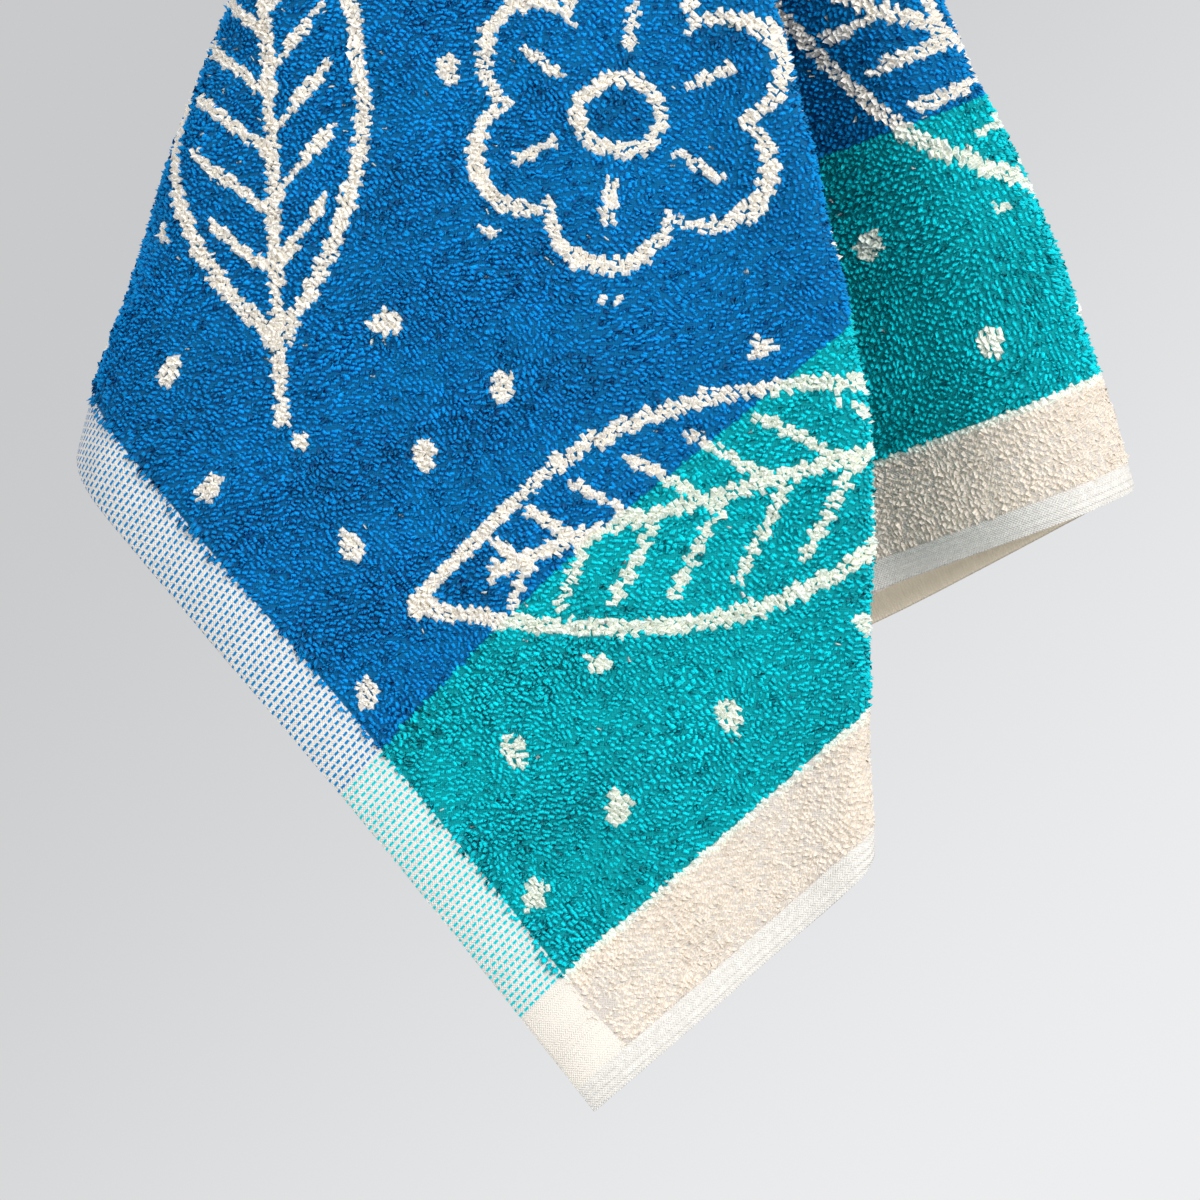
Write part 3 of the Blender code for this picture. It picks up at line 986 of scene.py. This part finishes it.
def build_pile(sizes, colours):
    """All the loops of the face side, as strips of the cloth."""
    rng = np.random.default_rng(RANDOM_SEED)
    i, j = np.meshgrid(np.arange(LOOP_COLUMNS), np.arange(LOOP_ROWS), indexing="ij")
    u = SIDE_HEM + (i + 0.5) * PITCH_U
    v = SELVEDGE + (j + 0.5) * PITCH_V
    in_cream = j < sizes.cream_rows
    white = woven_white(u, v, sizes.line_width, rng) & (j > sizes.cream_rows + 1)
    pale = white | in_cream
    yarn, fleck = loop_yarns(j, white, in_cream, sizes, colours, rng)
    # Painted shade: each loop's feet are darker than its ridge, for the shade between the loops
    shaded_foot_yarn = yarn * np.where(pale[..., None], PALE_FOOT_SHADE, COLOURED_FOOT_SHADE)
    stances = loop_stances(u, v, i, white, in_cream, fleck, sizes, rng)

    material = pile_material()
    corners = LOOP_PLACES[LOOP_FACES]
    in_cell = cell_places()
    feet = len(FOOT_CORNERS)
    clear = np.hypot(u - HANG_AT, v - SHORT_SIDE) > RING_RADIUS + BARE_AT_RING
    pieces = []
    limits = np.linspace(0, LOOP_COLUMNS, PILE_PIECES + 1).round().astype(int)
    for k, (first, end) in enumerate(zip(limits, limits[1:])):
        keep = clear & (i >= first) & (i < end)
        points = loop_points({name: values[keep] for name, values in stances.items()})
        count, size, _ = points.shape
        faces = (LOOP_FACES + size * np.arange(count)[:, None, None]).reshape(-1, 3)
        piece = new_piece(f"pile_loops_{k + 1}", points.reshape(-1, 3), faces, material)
        # Pale loops are flat shaded, because smooth shading draws dark slits in them
        smooth = UPPER_FACES & ~pale[keep][:, None]
        piece.data.polygons.foreach_set("use_smooth", smooth.ravel())
        # Colours of the points: the yarn's own at the ridge, with painted shade at the feet
        yarn_and_painted_foot_shade = np.ones((count, size, 4))
        yarn_and_painted_foot_shade[:, :feet, :3] = shaded_foot_yarn[keep][:, None]
        yarn_and_painted_foot_shade[:, feet:, :3] = yarn[keep][:, None]
        layer = piece.data.attributes.new("yarn", "FLOAT_COLOR", "POINT")
        layer.data.foreach_set("color", yarn_and_painted_foot_shade.astype(np.float32).ravel())
        give_map(piece, "strand", np.broadcast_to(corners, (count,) + corners.shape))
        cell = np.stack([i[keep] - first, j[keep]], axis=-1)[:, None, None]
        give_map(piece, "OFBake", (cell + in_cell) / (end - first, LOOP_ROWS))
        pieces.append(piece)
    return pieces


# Add-on: settings, operators and panel


def length(name, description, default, **limits):
    return FloatProperty(
        name=name,
        description=description,
        default=default,
        unit="LENGTH",
        subtype="DISTANCE",
        **limits,
    )


class TowelSizes(bpy.types.PropertyGroup):
    pile_height: length(
        "Pile height", "Height of a loop's crown over the middle of the cloth", 0.00155, min=0.0005
    )
    yarn_width: length("Yarn width", "Width of a loop across its foot", 0.00094, min=0.0002)
    loop_length: length("Loop length", "Length of a loop along its foot", 0.00128, min=0.0005)
    line_width: length(
        "Line width", "Width of the white outlines of the design", 0.0032, min=0.0014
    )
    cream_rows: IntProperty(
        name="Cream band",
        description="Rows of loops in the cream band along the hem",
        default=13,
        min=1,
    )
    teal_rows: IntProperty(
        name="Teal band",
        description="Rows of loops in the teal band above the cream one",
        default=42,
        min=1,
    )
    dash_spacing: length(
        "Dash spacing", "Distance between the dashes of the side hems", 0.00156, min=0.0005
    )
    rib_spacing: length(
        "Rib spacing", "Distance between the threads of the flat weave", 0.00062, min=0.0002
    )


def yarn_colour(name, description, default):
    return FloatVectorProperty(
        name=name,
        description=description,
        subtype="COLOR",
        size=3,
        min=0.0,
        max=1.0,
        default=default,
    )


class TowelColours(bpy.types.PropertyGroup):
    blue: yarn_colour("Blue", "Loops of the field", (0.001, 0.315, 0.780))
    teal: yarn_colour("Teal", "Loops of the broad band", (0.001, 0.755, 0.840))
    cream: yarn_colour("Cream", "Loops of the band at the hem", (0.705, 0.656, 0.605))
    white: yarn_colour("White", "Loops of the design", (0.810, 0.800, 0.775))
    white_in_teal: yarn_colour("Pale mint", "Design loops among teal", (0.740, 0.810, 0.770))
    hem: yarn_colour("Hem", "Flat weave of the hems", (0.710, 0.692, 0.660))
    ecru: yarn_colour("Ecru", "Flat weave of the side hem's end", (0.715, 0.678, 0.620))
    lining: yarn_colour("Lining", "Flat weave of the hems' reverse", (0.700, 0.620, 0.500))


class StageSettings(bpy.types.PropertyGroup):
    camera_distance: length(
        "Camera distance", "Distance of the camera in front of the hanging point", 2.0
    )
    floor_level: length("Floor level", "Height of the floor against the hanging point", -1.6)
    floor_radius: length("Floor radius", "Radius of the round floor", 10.0)
    key_power: FloatProperty(
        name="Key light",
        description="Power of the large soft light at the upper right",
        default=42.0,
        unit="POWER",
    )


class TowelCloth(bpy.types.Operator):
    """Weaves the ground, hems and reverse of the towel as one hanging sheet"""

    bl_idname = "towel.cloth"
    bl_label = "Cloth and Hems"

    def execute(self, context):
        scene = context.scene
        cloth = build_cloth(scene.towel_sizes, scene.towel_colours)
        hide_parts("towel")
        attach(cloth, "root")
        return {"FINISHED"}


class TowelPile(bpy.types.Operator):
    """Raises the loops of the face side, in the colours of the woven design"""

    bl_idname = "towel.pile"
    bl_label = "Pile Loops"

    def execute(self, context):
        scene = context.scene
        cloth = bpy.data.objects.get("cloth")
        if cloth is None:
            raise RuntimeError("make the cloth before its pile")
        pieces = build_pile(scene.towel_sizes, scene.towel_colours)
        for piece in pieces:
            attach(piece, "root")
        return {"FINISHED"}


FLOOR_CORNERS = 96
FLOOR_COLOUR = (0.72, 0.73, 0.74, 1.0)
FLOOR_ROUGHNESS = 0.9
LAMPS = (
    # name, place, size, share of the key light's power
    ("key", (1.3, -1.7, 0.75), 1.1, 1.0),
    ("fill", (-1.8, -1.6, 0.2), 1.6, 0.25),
    ("rim", (0.6, 2.0, 0.9), 1.4, 0.30),
)
LAMPS_AIM = (0.01, 0.0, -0.25)
# The studio's own light, and the tones that the camera sees of it: painted shade, darker to the
# upper left
STUDIO_LIGHT = (1.0, 0.985, 0.96, 1.0)
STUDIO_STRENGTH = 0.94
STUDIO_SHADE_TONE = (0.585, 0.590, 0.598, 1.0)
STUDIO_LIT_TONE = (0.850, 0.855, 0.865, 1.0)
STUDIO_TONES_AT = (-0.085, 0.115)


def lay_floor(stage):
    bpy.ops.object.select_all(action="DESELECT")
    bpy.ops.mesh.primitive_circle_add(
        vertices=FLOOR_CORNERS,
        radius=stage.floor_radius,
        fill_type="NGON",
        location=(0, 0, stage.floor_level),
    )
    floor = bpy.context.object
    floor.name = "floor"
    pale = bpy.data.materials.new("pale_floor")
    wires = Wires(pale)
    wires.put(wires.shader.inputs["Base Color"], FLOOR_COLOUR)
    wires.put(wires.shader.inputs["Roughness"], FLOOR_ROUGHNESS)
    floor.data.materials.append(pale)
    return floor


def set_camera(scene, distance):
    """A camera straight in front, framed as in the photograph."""
    corner = hung(np.array([hypot(HANG_AT, SHORT_SIDE)]), np.array([FRONT_CORNER_ANGLE]))[0]
    middle = PICTURE_SIDE / 2
    nearer = distance / (distance + corner[1])
    rows = CORNER_ROW - HANG_PIXEL[1] + (middle - HANG_PIXEL[1]) * (nearer - 1)
    pixel = (RING_DROP - corner[2]) * nearer / rows
    camera = bpy.data.cameras.new("camera")
    camera.sensor_width = SENSOR_WIDTH
    camera.lens = camera.sensor_width * distance / (PICTURE_SIDE * pixel)
    camera.clip_end = CAMERA_REACH
    view = bpy.data.objects.new("camera", camera)
    view.location = (
        (middle - HANG_PIXEL[0]) * pixel,
        -distance,
        RING_DROP - (middle - HANG_PIXEL[1]) * pixel,
    )
    view.rotation_euler = (pi / 2, 0, 0)
    scene.collection.objects.link(view)
    scene.camera = view


def set_lamps(scene, key_power):
    for name, place, size, share in LAMPS:
        lamp = bpy.data.lights.new(name, "AREA")
        lamp.shape = "DISK"
        lamp.size = size
        lamp.energy = key_power * share
        hung_lamp = bpy.data.objects.new(name, lamp)
        hung_lamp.location = place
        way = Vector(LAMPS_AIM) - Vector(place)
        hung_lamp.rotation_euler = way.to_track_quat("-Z", "Y").to_euler()
        scene.collection.objects.link(hung_lamp)


def set_studio(scene):
    """Pale light all round; what the camera sees of it is painted shade that grows lighter to the
    lower right.
    """
    world = bpy.data.worlds.new("studio")
    scene.world = world
    wires = Wires(world)
    wires.tree.nodes.clear()
    lights = wires.node("ShaderNodeBackground")
    wires.put(lights.inputs[0], STUDIO_LIGHT)
    wires.put(lights.inputs[1], STUDIO_STRENGTH)
    way = wires.node("ShaderNodeTexCoord")
    x, _, z = wires.parts(way.outputs["Generated"])
    tone = wires.steps(wires.math("MULTIPLY_ADD", z, -1.0, x), *STUDIO_TONES_AT)
    seen = wires.node("ShaderNodeBackground")
    wires.put(seen.inputs[0], wires.mix(tone, STUDIO_SHADE_TONE, STUDIO_LIT_TONE))
    path = wires.node("ShaderNodeLightPath")
    share = wires.node("ShaderNodeMixShader")
    wires.put(share.inputs[0], path.outputs["Is Camera Ray"])
    wires.put(share.inputs[1], lights.outputs[0])
    wires.put(share.inputs[2], seen.outputs[0])
    wires.put(wires.node("ShaderNodeOutputWorld").inputs[0], share.outputs[0])


class TowelStage(bpy.types.Operator):
    """Lays the pale floor and sets the soft lights and the camera"""

    bl_idname = "towel.stage"
    bl_label = "Stage"

    def execute(self, context):
        scene = context.scene
        stage = scene.towel_stage
        floor = lay_floor(stage)
        set_camera(scene, stage.camera_distance)
        set_lamps(scene, stage.key_power)
        set_studio(scene)
        scene.view_settings.view_transform = "Standard"
        scene.view_settings.look = "None"
        return {"FINISHED"}


class TowelPanel(bpy.types.Panel):
    """Lists the towel's sizes, colours and steps"""

    bl_idname = "VIEW3D_PT_towel"
    bl_label = "Terry Hand Towel"
    bl_space_type = "VIEW_3D"
    bl_region_type = "UI"
    bl_category = "Towel"

    def draw(self, context):
        layout = self.layout
        scene = context.scene
        for title, group in (
            ("Sizes", scene.towel_sizes),
            ("Colours", scene.towel_colours),
            ("Stage", scene.towel_stage),
        ):
            box = layout.box()
            box.label(text=title)
            for name in group.__annotations__:
                box.prop(group, name)
        for operator in (TowelCloth, TowelPile, TowelStage):
            layout.operator(operator.bl_idname)


CLASSES = (
    TowelSizes,
    TowelColours,
    StageSettings,
    TowelCloth,
    TowelPile,
    TowelStage,
    TowelPanel,
)


def register():
    for made in CLASSES:
        bpy.utils.register_class(made)
    bpy.types.Scene.towel_sizes = PointerProperty(type=TowelSizes)
    bpy.types.Scene.towel_colours = PointerProperty(type=TowelColours)
    bpy.types.Scene.towel_stage = PointerProperty(type=StageSettings)


def unregister():
    del bpy.types.Scene.towel_stage
    del bpy.types.Scene.towel_colours
    del bpy.types.Scene.towel_sizes
    for made in reversed(CLASSES):
        bpy.utils.unregister_class(made)


def main():
    register()
    bpy.ops.towel.cloth()
    bpy.ops.towel.pile()
    bpy.ops.towel.stage()


if __name__ == "__main__":
    main()
